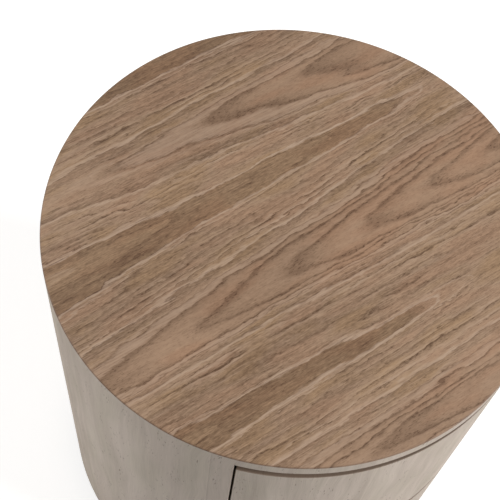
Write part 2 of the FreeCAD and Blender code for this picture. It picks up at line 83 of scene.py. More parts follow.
def linear(colour):
    """An sRGB hex value as linear red, green, blue and alpha."""
    channels = [int(colour[at : at + 2], 16) / 255 for at in (1, 3, 5)]
    return [c / 12.92 if c <= 0.04045 else ((c + 0.055) / 1.055) ** 2.4 for c in channels] + [1]


def add(material, kind, values=None, **settings):
    """Adds a node to a material: settings are its own, values go into inputs or are linked to them."""
    node = material.node_tree.nodes.new("ShaderNode" + kind)
    for name, setting in settings.items():
        setattr(node, name, setting)
    for name, value in (values or {}).items():
        if isinstance(value, bpy.types.NodeSocket):
            material.node_tree.links.new(value, node.inputs[name])
        else:
            node.inputs[name].default_value = value
    return node


def material_of(name, surface, *choices):
    """A material whose shader comes from the function given, which adds its nodes."""
    material = bpy.data.materials.new(name)
    material.use_nodes = True
    material.node_tree.nodes.clear()
    shader = surface(material, *choices)
    add(material, "OutputMaterial", {"Surface": shader.outputs[0]})
    return material


def in_millimetres(material, uv=None):
    """Object coordinates, or those of a UV map, in millimetres."""
    place = add(material, "UVMap", uv_map=uv) if uv else add(material, "TexCoord")
    spot = place.outputs["UV" if uv else "Object"]
    return add(material, "VectorMath", {0: spot, "Scale": 1000}, operation="SCALE").outputs[0]


def grains(material, spot, sizes):
    """Noises drawn out along axes, by name: each has its grain's size in millimetres along X, Y and
    Z, and its detail."""
    made = {}
    for name, (along_x, along_y, along_z, detail) in sizes.items():
        stretch = (1 / along_x, 1 / along_y, 1 / along_z)
        drawn = add(material, "VectorMath", {0: spot, 1: stretch}, operation="MULTIPLY")
        noise = add(material, "TexNoise", {"Vector": drawn.outputs[0], "Scale": 1, "Detail": detail})
        made[name] = noise.outputs[0]
    return made


def dress(material, *nodes):
    """Gives the material to CAD nodes, whose shape is right as it is."""
    for node in nodes:
        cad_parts[node].data.materials.clear()
        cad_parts[node].data.materials.append(material)


def moulded_nylon(material):
    haze = grains(material, in_millimetres(material), {"haze": (3, 3, 3, 3)})["haze"]
    gloss = add(material, "MapRange", {0: haze, 3: 0.42, 4: 0.56})
    dent = add(material, "Bump", {"Height": haze, "Strength": 0.2, "Distance": 0.0001})
    tint = {0: haze, 6: linear("#2B2A29"), 7: linear("#3D3A37")}
    shade = add(material, "Mix", tint, data_type="RGBA")
    nylon = {"Base Color": shade.outputs[2], "Roughness": gloss.outputs[0], "Normal": dent.outputs[0]}
    return add(material, "BsdfPrincipled", {**nylon, "IOR": 1.53})


dress(material_of("nylon_moulded_black", moulded_nylon), "floor_glides")

# Glue blocks inside the plinth: sawn beech, end grain down. Sawing leaves it matt, with short
# darker flecks.


def plain_wood(material, pale, dark, grain, roughness):
    """Straight-grained wood in two tones, its grain along the axis given."""
    # widths, lengths and details; fibres and flecks are drawn wider than real ones, so that they show
    layers = {"growth": (9, 220, 2), "fibre": (0.9, 60, 3), "fleck": (0.7, 6, 1)}
    sizes = {
        name: [length if axis == grain else width for axis in "XYZ"] + [detail]
        for name, (width, length, detail) in layers.items()
    }
    found = grains(material, in_millimetres(material), sizes)
    growth = add(material, "MapRange", {0: found["growth"], 1: 0.34, 2: 0.66}).outputs[0]
    fibre = add(material, "MapRange", {0: found["fibre"], 1: 0.3, 2: 0.7}).outputs[0]
    mixed = add(material, "Math", {0: growth, 1: 0.55}, operation="MULTIPLY").outputs[0]
    mixed = add(material, "Math", {0: fibre, 1: 0.35, 2: mixed}, operation="MULTIPLY_ADD").outputs[0]
    fleck = add(material, "MapRange", {0: found["fleck"], 1: 0.6, 2: 0.72, 4: 0.5}).outputs[0]
    mixed = add(material, "Math", {0: mixed, 1: fleck}, operation="ADD", use_clamp=True).outputs[0]
    tint = {0: mixed, 6: linear(pale), 7: linear(dark)}
    shade = add(material, "Mix", tint, data_type="RGBA").outputs[2]
    dent = add(material, "Bump", {"Height": mixed, "Strength": 0.25, "Distance": -0.0001}).outputs[0]
    wood = {"Base Color": shade, "Normal": dent, "Roughness": roughness, "IOR": 1.5}
    return add(material, "BsdfPrincipled", wood)


dress(material_of("beech_sawn", plain_wood, "#CFA87E", "#A67F58", "Z", 0.75), "plinth_blocks")

# Plinth: a recessed ring of bent fibreboard with eased edges, sprayed with matt dark brown
# lacquer, which leaves a faint orange peel and wears paler along the edges.

plinth_low, plinth_high = (np.array(corner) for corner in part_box("plinth_ring"))
plinth_wall = 0.015
plinth_easing = 0.0012


def grid_faces(rows, columns, close_rows=False, close_columns=False):
    """Quads between neighbours on a grid of numbered points, row by row."""
    row = np.arange(rows if close_rows else rows - 1)[:, None]
    column = np.arange(columns if close_columns else columns - 1)[None, :]
    next_row, next_column = (row + 1) % rows, (column + 1) % columns
    corners = np.broadcast_arrays(
        row * columns + column,
        next_row * columns + column,
        next_row * columns + next_column,
        row * columns + next_column,
    )
    return np.stack(corners, axis=-1).reshape(-1, 4).tolist()


def eased(corners, radius, steps=4):
    """An outline with every corner rounded by an arc of that radius, tangent to its two edges."""
    corners = np.asarray(corners, dtype=float)
    radius = np.broadcast_to(radius, len(corners))[:, None]
    back = np.roll(corners, 1, axis=0) - corners
    ahead = np.roll(corners, -1, axis=0) - corners
    back /= np.linalg.norm(back, axis=1, keepdims=True)
    ahead /= np.linalg.norm(ahead, axis=1, keepdims=True)
    half = np.arccos(np.clip((back * ahead).sum(axis=1), -1, 1))[:, None] / 2
    middle = (back + ahead) / np.linalg.norm(back + ahead, axis=1, keepdims=True)
    centre = corners + middle * radius / np.sin(half)
    start = corners + back * radius / np.tan(half) - centre
    end = corners + ahead * radius / np.tan(half) - centre
    share = np.linspace(0, 1, steps + 1)[None, :, None]
    spoke = start[:, None] * (1 - share) + end[:, None] * share
    spoke /= np.linalg.norm(spoke, axis=2, keepdims=True)
    return (centre[:, None] + spoke * radius[:, None]).reshape(-1, 2)


def turned(outline, angles, closed, capped=False):
    """An outline of (radius, height) swept about the drum's axis: (r sin a, -r cos a, z). Round a
    whole turn it is closed, or open and capped by two round faces."""
    radius, height = outline[None, :, 0], outline[None, :, 1]
    turn = angles[:, None]
    grid = np.stack([radius * np.sin(turn), -radius * np.cos(turn), height + 0 * turn], axis=-1)
    count = len(outline)
    number = np.arange(grid.size // 3).reshape(-1, count)
    faces = grid_faces(len(angles), count, close_rows=closed, close_columns=not capped)
    if capped:
        faces += [number[::-1, 0].tolist(), number[:, -1].tolist()]
    elif not closed:
        faces += [number[0].tolist(), number[-1, ::-1].tolist()]
    return grid.reshape(-1, 3), faces


def shown(mesh, material, body, replaced):
    """A piece made of a mesh, its normals turned outward, smooth but for its sharp edges. It rides on the
    body, takes the material given and stands in for the CAD nodes replaced."""
    surface = bmesh.new()
    surface.from_mesh(mesh)
    bmesh.ops.recalc_face_normals(surface, faces=surface.faces)
    surface.to_mesh(mesh)
    surface.free()
    mesh.polygons.foreach_set("use_smooth", np.ones(len(mesh.polygons), dtype=bool))
    mesh.set_sharp_from_angle(angle=math.radians(30))
    mesh.materials.append(material)
    piece = bpy.data.objects.new(mesh.name, mesh)
    bpy.context.scene.collection.objects.link(piece)
    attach(piece, body)
    if replaced:
        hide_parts(*replaced)
    return piece


def piece_of(name, points, faces, material, body, slot, replaced=()):
    """A piece from points and faces."""
    mesh = bpy.data.meshes.new(name)
    mesh.from_pydata(points, [], faces)
    return shown(mesh, material, body, replaced)


def sprayed_lacquer(material):
    sizes = {"peel": (1.6, 1.6, 1.6, 2), "scuff": (3, 3, 3, 3), "wear": (60, 60, 25, 4)}
    found = grains(material, in_millimetres(material), sizes)
    tint = {0: found["wear"], 6: linear("#352B25"), 7: linear("#43372F")}
    shade = add(material, "Mix", tint, data_type="RGBA").outputs[2]
    # an edge is where a rounded normal leans away from the surface's own
    rounded = add(material, "Bevel", {"Radius": 0.002}, samples=4).outputs[0]
    own = add(material, "NewGeometry").outputs["Normal"]
    lean = add(material, "VectorMath", {0: rounded, 1: own}, operation="DOT_PRODUCT").outputs["Value"]
    edge = add(material, "MapRange", {0: lean, 1: 0.995, 2: 0.9}).outputs[0]
    scuffed = add(material, "Math", {0: edge, 1: found["scuff"]}, operation="MULTIPLY").outputs[0]
    shade = {0: scuffed, 6: shade, 7: linear("#7C6653")}
    shade = add(material, "Mix", shade, data_type="RGBA").outputs[2]
    gloss = add(material, "MapRange", {0: found["wear"], 3: 0.5, 4: 0.66}).outputs[0]
    dent = add(material, "Bump", {"Height": found["peel"], "Strength": 0.3, "Distance": 0.0001})
    lacquer = {"Base Color": shade, "Roughness": gloss, "Normal": dent.outputs[0], "IOR": 1.5}
    return add(material, "BsdfPrincipled", lacquer)


plinth_outside = plinth_high[0]
plinth_inside = plinth_outside - plinth_wall
plinth_outline = eased(
    [
        (plinth_outside, plinth_low[2]),
        (plinth_outside, plinth_high[2]),
        (plinth_inside, plinth_high[2]),
        (plinth_inside, plinth_low[2]),
    ],
    plinth_easing,
)
whole_turn = np.linspace(0, 2 * math.pi, 256, endpoint=False)
piece_of(
    "plinth",
    *turned(plinth_outline, whole_turn, closed=True),
    material_of("fibreboard_lacquered_dark", sprayed_lacquer),
    "carcass",
    "plinth_lacquer",
    ["plinth_ring"],
)

# Bottom and top panels and the ribs: boards of bare fibreboard glued inside the shell. Cut fibreboard
# is matt, with short fibres pressed in all directions.


def bare_fibreboard(material):
    sizes = {"felt": (1.2, 1.2, 1.2, 4), "cloud": (25, 25, 25, 2)}
    found = grains(material, in_millimetres(material), sizes)
    mixed = add(material, "Math", {0: found["felt"], 1: found["cloud"]}, operation="MULTIPLY")
    spread = add(material, "MapRange", {0: mixed.outputs[0], 1: 0.12, 2: 0.4}).outputs[0]
    tint = {0: spread, 6: linear("#A98A66"), 7: linear("#8A6B4A")}
    shade = add(material, "Mix", tint, data_type="RGBA").outputs[2]
    dent = add(material, "Bump", {"Height": found["felt"], "Strength": 0.3, "Distance": 0.0002})
    board = {"Base Color": shade, "Normal": dent.outputs[0], "Roughness": 0.85}
    return add(material, "BsdfPrincipled", board)


fibreboard = material_of("fibreboard_sanded", bare_fibreboard)
dress(fibreboard, "bottom_panel", "top_panel", "side_rib_left", "side_rib_right")

# Shell: thin plies bent round and glued into a drum, faced with upright oak veneer. Its opening is cut out
# afterwards, and the cut edges are eased. Faces that look up or down are painted dark brown as painted
# shade, and sharp edges are painted paler, partly as rubbing and partly as a painted highlight. A
# grey-beige wash under matt lacquer dulls the wood's colour, and the grain and the dark pores stay to be
# seen.

shell_low, shell_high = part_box("side_shell")
shell_radius = shell_high.x
shell_wall = 0.018
shell_easing = 0.0006
opening_half_turn = math.radians(47)
opening_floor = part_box("bottom_panel")[1].z
opening_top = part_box("top_panel")[0].z


def unroll(piece, radius):
    """A UV map in metres: arc length round the drum from its front, and height."""
    mesh = piece.data
    corner = np.empty(len(mesh.loops), dtype=np.int32)
    mesh.loops.foreach_get("vertex_index", corner)
    spot = np.empty(3 * len(mesh.vertices))
    mesh.vertices.foreach_get("co", spot)
    spot = spot.reshape(-1, 3)[corner]
    middle = np.empty(3 * len(mesh.polygons))
    mesh.polygons.foreach_get("center", middle)
    size = np.empty(len(mesh.polygons), dtype=np.int32)
    mesh.polygons.foreach_get("loop_total", size)
    middle = np.repeat(middle.reshape(-1, 3), size, axis=0)
    face_turn = np.arctan2(middle[:, 0], -middle[:, 1])
    turn = np.arctan2(spot[:, 0], -spot[:, 1])
    turn += 2 * math.pi * np.round((face_turn - turn) / (2 * math.pi))
    uv = np.stack([turn * radius, spot[:, 2]], axis=-1)
    mesh.uv_layers.new(name="around").data.foreach_set("uv", uv.astype(np.float32).ravel())


def bevel(piece, width, steps=3):
    """Rounds the piece's sharp edges."""
    modifier = piece.modifiers.new("eased_edges", "BEVEL")
    modifier.width = width
    modifier.segments = steps
    modifier.limit_method = "ANGLE"
    modifier.angle_limit = math.radians(30)
    modifier.harden_normals = True


def summed(material, layers):
    """A shade of 0.5 plus, for each layer, its weight times its distance from its mean."""
    shade = 0.5 - sum(weight * mean for _, weight, mean in layers)
    for layer, weight, _ in layers:
        shade = {0: layer, 1: weight, 2: shade}
        shade = add(material, "Math", shade, operation="MULTIPLY_ADD").outputs[0]
    return shade


def washed_veneer(material):
    spot = in_millimetres(material, uv="around")
    # the grain sways sideways, this many millimetres from one end of its sway to the other
    sway_width = 26
    sway = grains(material, spot, {"sway": (60, 110, 1, 1)})["sway"]
    swayed = {0: sway, 1: (sway_width, 0, 0), 2: spot}
    swayed = add(material, "VectorMath", swayed, operation="MULTIPLY_ADD").outputs[0]
    # fibres and pores are drawn about four times as wide as real ones, which are too fine to show
    sizes = {
        "cloud": (40, 220, 1, 2),
        "band": (8, 300, 1, 2),
        "fibre": (1.1, 45, 1, 3),
        "tinge": (30, 120, 1, 2),
        "cluster": (14, 50, 1, 1),
        "pore": (1.3, 12, 1, 1),
        "wear": (18, 18, 1, 4),
    }
    found = grains(material, swayed, sizes)
    # leaves of veneer, each a little lighter or darker, with a joint line between them
    leaf_width, first_joint, first_leaf = 172.8, -250, 20
    across = add(material, "SeparateXYZ", {0: spot}).outputs[0]
    counted = {0: across, 1: 1 / leaf_width, 2: first_leaf - first_joint / leaf_width}
    leaf = add(material, "Math", counted, operation="MULTIPLY_ADD").outputs[0]
    whole = add(material, "Math", {0: leaf}, operation="FLOOR").outputs[0]
    part = add(material, "Math", {0: leaf}, operation="FRACT").outputs[0]
    leaf_tone = add(material, "TexWhiteNoise", {"W": whole}, noise_dimensions="1D").outputs[0]
    dark_edge = add(material, "MapRange", {0: part, 1: 0.012, 2: 0.0}).outputs[0]
    light_edge = add(material, "MapRange", {0: part, 1: 0.985, 2: 1.0}).outputs[0]
    layers = [
        (found["cloud"], 0.9, 0.5),
        (found["band"], 0.7, 0.5),
        (found["fibre"], 0.8, 0.5),
        (leaf_tone, 0.12, 0.5),
        (light_edge, 0.18, 0),
        (dark_edge, -0.22, 0),
    ]
    tint = {0: summed(material, layers), 6: linear("#9A8C80"), 7: linear("#C3B6AA")}
    wood = add(material, "Mix", tint, data_type="RGBA").outputs[2]
    greener = add(material, "MapRange", {0: found["tinge"], 1: 0.4, 2: 0.65}).outputs[0]
    wood = {0: greener, 6: wood, 7: linear("#F8FAF6")}
    wood = add(material, "Mix", wood, data_type="RGBA", blend_type="MULTIPLY").outputs[2]
    open_here = add(material, "MapRange", {0: found["cluster"], 1: 0.53, 2: 0.62}).outputs[0]
    pore = add(material, "MapRange", {0: found["pore"], 1: 0.62, 2: 0.68, 4: 0.9}).outputs[0]
    pore = add(material, "Math", {0: pore, 1: open_here}, operation="MULTIPLY").outputs[0]
    filled = {0: pore, 6: wood, 7: linear("#6E5F53")}
    wood = add(material, "Mix", filled, data_type="RGBA").outputs[2]
    # faces that look up or down, the edges cut across the plies, are painted brown: painted shade, most of
    # all for the dark gap above each drawer front
    facing = add(material, "NewGeometry").outputs["True Normal"]
    upright = add(material, "SeparateXYZ", {0: facing}).outputs[2]
    upright = add(material, "Math", {0: upright}, operation="ABSOLUTE").outputs[0]
    painted_cut_shade = add(material, "MapRange", {0: upright, 1: 0.35, 2: 0.6, 4: 0.85}).outputs[0]
    wood = add(material, "Mix", {0: painted_cut_shade, 6: wood, 7: linear("#6A5646")}, data_type="RGBA").outputs[2]
    # sharp edges are a little paler in patches, found as on the plinth: partly rubbing, partly a painted
    # highlight on the rounded edges
    rounded = add(material, "Bevel", {"Radius": 0.0012}, samples=4).outputs[0]
    own = add(material, "NewGeometry").outputs["Normal"]
    lean = add(material, "VectorMath", {0: rounded, 1: own}, operation="DOT_PRODUCT").outputs["Value"]
    edge = add(material, "MapRange", {0: lean, 1: 0.99, 2: 0.85}).outputs[0]
    rubbed_and_highlit = add(material, "Math", {0: edge, 1: found["wear"]}, operation="MULTIPLY").outputs[0]
    worn_and_highlit = {0: rubbed_and_highlit, 6: wood, 7: linear("#CBBDAF")}
    wood = add(material, "Mix", worn_and_highlit, data_type="RGBA").outputs[2]
    gloss = add(material, "MapRange", {0: found["fibre"], 3: 0.46, 4: 0.6}).outputs[0]
    relief = add(material, "Math", {0: found["fibre"], 1: pore}, operation="SUBTRACT").outputs[0]
    dent = add(material, "Bump", {"Height": relief, "Strength": 0.35, "Distance": 0.00015}).outputs[0]
    lacquered = {"Base Color": wood, "Roughness": gloss, "Normal": dent, "IOR": 1.5}
    return add(material, "BsdfPrincipled", lacquered)


# the wall is (r sin a, -r cos a, z), with columns and rows of points right on the opening's edges
# and no faces over it, and Solidify gives it the thickness of its plies
wall_columns = 240
column_clearance = 0.01
wall_turns = np.linspace(-math.pi, math.pi, wall_columns, endpoint=False)
wall_turns = wall_turns[np.abs(np.abs(wall_turns) - opening_half_turn) > column_clearance]
wall_turns = np.sort(np.append(wall_turns, [-opening_half_turn, opening_half_turn]))
wall_heights = np.array([shell_low.z, opening_floor, opening_top, shell_high.z])
turn, height = np.meshgrid(wall_turns, wall_heights, indexing="ij")
wall_points = np.stack([shell_radius * np.sin(turn), -shell_radius * np.cos(turn), height], axis=-1)
wall_faces = np.array(grid_faces(len(wall_turns), len(wall_heights), close_rows=True))
over_opening = (wall_turns >= -opening_half_turn) & (wall_turns < opening_half_turn)
in_opening = over_opening[:, None] & np.array([False, True, False])
veneer = material_of("oak_veneer_washed_grey", washed_veneer)
shell = piece_of(
    "shell",
    wall_points.reshape(-1, 3),
    wall_faces[~in_opening.ravel()].tolist(),
    veneer,
    "carcass",
    "greige_veneer",
    ["side_shell"],
)
unroll(shell, shell_radius)
thickness = shell.modifiers.new("bent_plies", "SOLIDIFY")
thickness.thickness = shell_wall
thickness.offset = -1
bevel(shell, shell_easing)

# Flat boards and shelf: the boards carry the slides, the shelf parts the drawers. Fibreboard
# wrapped in printed foil shows a fine, even grain and a dull sheen.


def foiled_board(material, along):
    # the printed grain is drawn coarse enough to show
    fine = {"X": (80, 0.8, 0.8, 2), "Z": (0.8, 0.8, 80, 2)}[along]
    sizes = {"print": fine, "cloud": (120, 120, 120, 1), "rub": (14, 14, 14, 4)}
    found = grains(material, in_millimetres(material), sizes)
    mixed = add(material, "Math", {0: found["print"], 1: 0.6}, operation="MULTIPLY").outputs[0]
    mixed = {0: found["cloud"], 1: 0.5, 2: mixed}
    mixed = add(material, "Math", mixed, operation="MULTIPLY_ADD").outputs[0]
    tint = {0: mixed, 6: linear("#9C8D7F"), 7: linear("#BCAFA2")}
    shade = add(material, "Mix", tint, data_type="RGBA").outputs[2]
    gloss = add(material, "MapRange", {0: found["rub"], 3: 0.42, 4: 0.58}).outputs[0]
    dent = add(material, "Bump", {"Height": found["print"], "Strength": 0.15, "Distance": 0.0001})
    foil = {"Base Color": shade, "Roughness": gloss, "Normal": dent.outputs[0], "IOR": 1.48}
    return add(material, "BsdfPrincipled", foil)


def eased_board(node, width, material, body):
    """A piece with the shape of a CAD board, its faces merged and its edges taken off by width."""
    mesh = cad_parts[node].data.copy()
    mesh.name = f"{node}_board"
    mesh.transform(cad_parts[node].matrix_world)
    board = bmesh.new()
    board.from_mesh(mesh)
    bmesh.ops.remove_doubles(board, verts=board.verts, dist=1e-6)
    bmesh.ops.dissolve_limit(board, angle_limit=0.01, verts=board.verts, edges=board.edges)
    board.to_mesh(mesh)
    board.free()
    mesh.materials.clear()
    bevel(shown(mesh, material, body, [node]), width, steps=2)


foil_upright = material_of("foil_printed_upright", foiled_board, "Z")
foil_across = material_of("foil_printed_across", foiled_board, "X")
board_easing = 0.0006
for side in ("left", "right"):
    eased_board(f"inner_side_{side}", board_easing, foil_upright, "carcass")
eased_board("divider_shelf", board_easing, foil_across, "carcass")

# Top: a thin board over the whole drum, faced with flat-cut walnut veneer that runs to its rounded
# edge. Cut so, its growth lines make pointed arches and broad tongues. Matt lacquer keeps the wood
# from shining and fills its pores without hiding them.

top_floor, top_face = (corner.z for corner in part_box("top_veneer_board"))
top_rounding = 0.0013
top_lower_edge = 0.0003


def bend_curve(curve, points):
    """Lays a Float Curve through points whose places and heights both run from 0 to 1."""
    laid = curve.mapping.curves[0].points
    laid[0].location, laid[-1].location = points[0], points[-1]
    for point in points[1:-1]:
        laid.new(*point)
    for point in laid:
        point.handle_type = "AUTO_CLAMPED"
    curve.mapping.update()


def cathedral_veneer(material):
    spot = in_millimetres(material)
    # the grain runs along X and is the same through the thickness; hairs, fibres and pores are
    # drawn about a millimetre wide, several times as wide as real ones, which are too fine to show
    flat = 1000
    sizes = {
        "sway": (150, 45, flat, 1),
        "waver": (34, 9, flat, 1),
        "shiver": (9, 2.4, flat, 1),
        "fibre": (30, 1.4, flat, 2),
        "hair": (5, 0.8, flat, 1),
        "mottle": (7, 3.5, flat, 2),
        "tone": (240, 60, flat, 2),
        "patch": (80, 22, flat, 1),
        "pore": (4, 0.9, flat, 1),
        "where": (50, 12, flat, 1),
    }
    found = grains(material, spot, sizes)
    axes = add(material, "SeparateXYZ", {0: spot}).outputs
    along, across = axes[0], axes[1]
    # how many millimetres each noise moves the growth lines
    moves = {"sway": 14, "waver": 10, "shiver": 4, "fibre": 1.6, "hair": 1.2}
    for layer, most in moves.items():
        moved = {0: found[layer], 1: most, 2: across}
        moved = add(material, "Math", moved, operation="MULTIPLY_ADD").outputs[0]
        across = add(material, "Math", {0: moved, 1: most / 2}, operation="SUBTRACT").outputs[0]
    # growth lines are counted across the grain, up to each crest and down to each dip, and fewer
    # are left the further one goes along it, so that lines turn round at every crest and dip: at
    # each millimetre across, how many lines are counted, and how many are lost over loss_run
    half_span, loss_run, most_lines, most_lost = 280, 85, 25, 2
    counted = [
        (-280, 2.82), (-257, 0.62), (-235, 2.62), (-200, 7.22), (-180, 9.42), (-163, 11.9),
        (-150, 13.7), (-138, 12.1), (-110, 9.02), (-85, 6.22), (-66, 2.32), (-56, 1.12),
        (-45, 0.7), (-33, 0.85), (-22, 1.5), (0, 4.62), (20, 7.42), (41, 10.02), (60, 12.62),
        (77, 14.97), (90, 11.82), (110, 7.62), (130, 4.72), (150, 3.42), (165, 2.97), (180, 4.02),
        (200, 6.82), (240, 11.82), (280, 16.82),
    ]  # fmt: skip
    lost = [
        (-280, 0.6), (-200, 0.3), (-165, 0.9), (-150, 1.0), (-135, 0.3), (-110, 0.05), (-75, 0.05),
        (-60, 0.5), (-45, 0.75), (-20, 1.1), (0, 1.2), (41, 1.0), (77, 0.8), (100, 0.8), (130, 1.0),
        (150, 0.7), (165, 0.62), (180, 0.7), (200, 0.5), (240, 0.2), (280, 0.2),
    ]  # fmt: skip

    def lines_at(across):
        span = {0: across, 1: -half_span, 2: half_span}
        place = add(material, "MapRange", span).outputs[0]
        read = []
        for points, most in ((counted, most_lines), (lost, most_lost)):
            curve = add(material, "FloatCurve", {"Value": place})
            bend_curve(curve, [((at + half_span) / (2 * half_span), y / most) for at, y in points])
            read.append(curve.outputs[0])
        count = add(material, "Math", {0: read[0], 1: most_lines}, operation="MULTIPLY").outputs[0]
        loss = add(material, "Math", {0: read[1], 1: along}, operation="MULTIPLY").outputs[0]
        left = {0: loss, 1: -most_lost / loss_run, 2: count}
        return add(material, "Math", left, operation="MULTIPLY_ADD").outputs[0]

    ring = lines_at(across)
    beside = add(material, "Math", {0: across, 1: 1}, operation="ADD").outputs[0]
    per_mm = add(material, "Math", {0: lines_at(beside), 1: ring}, operation="SUBTRACT").outputs[0]
    per_mm = add(material, "Math", {0: per_mm}, operation="ABSOLUTE").outputs[0]
    # there is never quite no line to a millimetre, so that a distance can be worked out below
    fewest = 0.015
    per_mm = add(material, "Math", {0: per_mm, 1: fewest}, operation="MAXIMUM").outputs[0]
    # each line has a number, and its number and this choice settle how dark and how pale it is
    choice = 31342
    whole = add(material, "Math", {0: ring}, operation="FLOOR").outputs[0]
    phase = add(material, "Math", {0: ring}, operation="FRACT").outputs[0]
    whole = add(material, "Math", {0: whole, 1: choice}, operation="ADD").outputs[0]
    chance = add(material, "TexWhiteNoise", {"W": whole}, noise_dimensions="1D").outputs["Color"]
    chances = add(material, "SeparateColor", {0: chance}).outputs
    # the innermost part of the arches is even heart, and the first lines of a tongue are sap
    heart = add(material, "MapRange", {0: ring, 1: 12.9, 2: 13.2}).outputs[0]
    sap = add(material, "MapRange", {0: ring, 1: 4.5, 2: 3.7}).outputs[0]
    # each line darkens slowly and ends sharply, and those of the broad tongues are soft bands
    sharp = add(material, "FloatCurve", {"Value": phase})
    bend_curve(
        sharp,
        [(0, 1), (0.05, 0.4), (0.14, 0.05), (0.3, 0), (0.5, 0.05), (0.75, 0.35), (0.92, 0.65), (1, 1)],
    )
    soft = add(material, "FloatCurve", {"Value": phase})
    bend_curve(
        soft,
        [(0, 0.95), (0.07, 0.5), (0.16, 0.15), (0.3, 0), (0.5, 0.05), (0.72, 0.3), (0.9, 0.75), (1, 0.95)],
    )
    late = add(material, "Mix", {0: sap, 2: sharp.outputs[0], 3: soft.outputs[0]}).outputs[0]
    depth = add(material, "MapRange", {0: chances[0], 1: 0.15, 2: 0.9, 3: 0.1, 4: 1.0}).outputs[0]
    strong = add(material, "Math", {0: sap, 1: 0.65}, operation="MULTIPLY").outputs[0]
    depth = add(material, "Math", {0: depth, 1: strong}, operation="MAXIMUM").outputs[0]
    least = add(material, "MapRange", {0: sap, 3: 0.2, 4: 0.75}).outputs[0]
    broken = {0: found["where"], 1: 0.35, 2: 0.62, 3: least, 4: 1.0}
    broken = add(material, "MapRange", broken).outputs[0]
    fainter = add(material, "MapRange", {0: heart, 3: 1.0, 4: 0.45}).outputs[0]
    turning = {0: per_mm, 1: fewest, 2: 0.1, 3: 0.68, 4: 1.0}
    turning = add(material, "MapRange", turning).outputs[0]
    for share in (depth, broken, fainter, turning):
        late = add(material, "Math", {0: late, 1: share}, operation="MULTIPLY").outputs[0]
    # a pale border follows some lines, three pale streaks run along places in the count, each so
    # many millimetres to a side, and a pale band lies in the tongues
    after = add(material, "FloatCurve", {"Value": phase})
    bend_curve(after, [(0, 0), (0.06, 0), (0.13, 0.7), (0.22, 1), (0.34, 0.6), (0.5, 0), (1, 0)])
    often = add(material, "MapRange", {0: chances[1], 1: 0.2, 2: 0.9, 4: 0.7}).outputs[0]
    pale = add(material, "Math", {0: after.outputs[0], 1: often}, operation="MULTIPLY").outputs[0]
    pale = add(material, "Math", {0: pale, 1: broken}, operation="MULTIPLY").outputs[0]
    for line, reach, weight in ((12.75, 2.3, 0.8), (12.2, 1, 0.5), (6.2, 2.6, 0.7)):
        away = add(material, "Math", {0: ring, 1: line}, operation="SUBTRACT").outputs[0]
        away = add(material, "Math", {0: away}, operation="ABSOLUTE").outputs[0]
        away = add(material, "Math", {0: away, 1: per_mm}, operation="DIVIDE").outputs[0]
        near = {0: away, 1: reach, 2: 0.3 * reach, 4: weight}
        near = add(material, "MapRange", near, interpolation_type="SMOOTHSTEP").outputs[0]
        pale = add(material, "Math", {0: pale, 1: near}, operation="ADD").outputs[0]
    band = add(material, "Math", {0: ring, 1: 3.5}, operation="SUBTRACT").outputs[0]
    band = add(material, "Math", {0: band}, operation="ABSOLUTE").outputs[0]
    band = add(material, "MapRange", {0: band, 1: 0.48, 2: 0.3, 4: 0.45}).outputs[0]
    pale = add(material, "Math", {0: pale, 1: band}, operation="ADD").outputs[0]
    streaked = {0: found["fibre"], 1: 0.32, 2: 0.6, 3: 0.3, 4: 1.2}
    streaked = add(material, "MapRange", streaked).outputs[0]
    pale = add(material, "Math", {0: pale, 1: streaked}, operation="MULTIPLY").outputs[0]
    # pores gather in the dark lines, and the sap is smoother than the rest
    pore = add(material, "MapRange", {0: found["pore"], 1: 0.58, 2: 0.68}).outputs[0]
    open_here = add(material, "Math", {0: late, 1: 0.8, 2: 0.2}, operation="MULTIPLY_ADD").outputs[0]
    pore = add(material, "Math", {0: pore, 1: open_here}, operation="MULTIPLY").outputs[0]
    rough = add(material, "MapRange", {0: sap, 3: 1.0, 4: 0.4}).outputs[0]
    mixed = add(material, "Math", {0: found["fibre"], 1: found["hair"]}, operation="ADD").outputs[0]
    mixed = add(material, "Math", {0: mixed, 1: 1.0}, operation="SUBTRACT").outputs[0]
    mixed = add(material, "Math", {0: mixed, 1: rough}, operation="MULTIPLY").outputs[0]
    even = add(material, "Math", {0: sap, 1: 0.75}, operation="MULTIPLY").outputs[0]
    ring_tone = add(material, "Mix", {0: even, 2: chances[2], 3: 0.6}).outputs[0]
    layers = [
        (found["tone"], 0.7, 0.5),
        (mixed, 0.8, 0.0),
        (found["mottle"], 0.4, 0.5),
        (ring_tone, 0.3, 0.5),
        (heart, -0.12, 0.1),
        (sap, 0.1, 0.15),
        (late, -0.98, 0.135),
        (pore, -0.85, 0.02),
    ]
    tint = {0: summed(material, layers), 6: linear("#4E331A"), 7: linear("#A68A71")}
    wood = add(material, "Mix", tint, data_type="RGBA").outputs[2]
    # patches lean to red or to yellow, the sap to red and the heart to yellow
    redder = add(material, "MapRange", {0: found["patch"], 1: 0.48, 2: 0.64, 4: 0.65}).outputs[0]
    redder = add(material, "Math", {0: sap, 1: 0.35, 2: redder}, operation="MULTIPLY_ADD").outputs[0]
    yellower = add(material, "MapRange", {0: found["patch"], 1: 0.5, 2: 0.36, 4: 0.7}).outputs[0]
    yellower = {0: yellower, 1: sap}
    yellower = add(material, "Math", yellower, operation="SUBTRACT", use_clamp=True).outputs[0]
    heart_yellow = add(material, "Math", {0: heart, 1: 0.6}, operation="MULTIPLY").outputs[0]
    yellower = {0: yellower, 1: heart_yellow}
    yellower = add(material, "Math", yellower, operation="MAXIMUM").outputs[0]
    for share, hue in ((redder, "#FFF4EE"), (yellower, "#F5EEDB")):
        hued = {0: share, 6: wood, 7: linear(hue)}
        wood = add(material, "Mix", hued, data_type="RGBA", blend_type="MULTIPLY").outputs[2]
